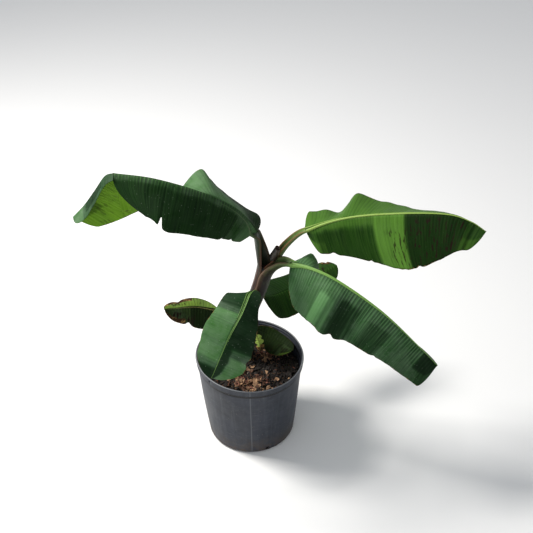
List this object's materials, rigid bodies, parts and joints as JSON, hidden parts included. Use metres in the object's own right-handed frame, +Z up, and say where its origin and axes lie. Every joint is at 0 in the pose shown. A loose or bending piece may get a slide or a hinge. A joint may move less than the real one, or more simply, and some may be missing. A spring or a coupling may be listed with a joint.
{
  "type": "potted banana plant",
  "caption": "Young banana plant with broad drooping leaves on a leaning stem, growing in bark mix in a round plastic nursery pot.",
  "frame": {"origin": "centre of the pot's flat underside", "axes": "+Z up, +X to the plant's right seen from the front, +Y to the back"},
  "size_m": [0.8826, 0.4439, 0.8142],
  "materials": {
    "pot_plastic": "weathered, dusty toward the foot",
    "bark_mix": "loose bark chips and fibre with pale grit",
    "stem": "smooth wrapped leaf bases with dark blotches",
    "leaf_stalk": "smooth and channelled, pink along its edges",
    "leaf_blade": "waxy and finely pleated, paler beneath",
    "dry_leaf": "withered and papery"
  },
  "bodies": {
    "root": {"pot": "pot_plastic", "soil": "bark_mix", "stem": "stem", "cut_spear_leaf": "dry_leaf", "back_leaf_left": "leaf_blade", "back_leaf_rib": "leaf_stalk", "back_leaf_right": "leaf_blade", "front_leaf_left": "leaf_blade", "front_leaf_rib": "leaf_stalk", "front_leaf_right": "leaf_blade", "left_leaf_left_end": "leaf_blade", "left_leaf_left_front": "leaf_blade", "left_leaf_rib": "leaf_stalk", "left_leaf_right_crest": "leaf_blade", "left_leaf_right_fall": "leaf_blade", "left_leaf_tip_left": "leaf_blade", "left_leaf_tip_rib": "leaf_stalk", "left_leaf_tip_right": "leaf_blade", "lower_left_leaf_left": "leaf_blade", "lower_left_leaf_rib": "leaf_stalk", "lower_left_leaf_right": "leaf_blade", "lower_right_leaf_left": "leaf_blade", "lower_right_leaf_rib": "leaf_stalk", "lower_right_leaf_right_lower": "leaf_blade", "lower_right_leaf_right_upper": "leaf_blade", "pot_leaf_left": "leaf_blade", "pot_leaf_rib": "leaf_stalk", "pot_leaf_right": "leaf_blade", "upper_right_leaf_left": "leaf_blade", "upper_right_leaf_rib": "leaf_stalk", "upper_right_leaf_right": "leaf_blade", "withered_leaf_left": "dry_leaf", "withered_leaf_rib": "dry_leaf", "withered_leaf_right": "dry_leaf"}
  },
  "joints": []
}
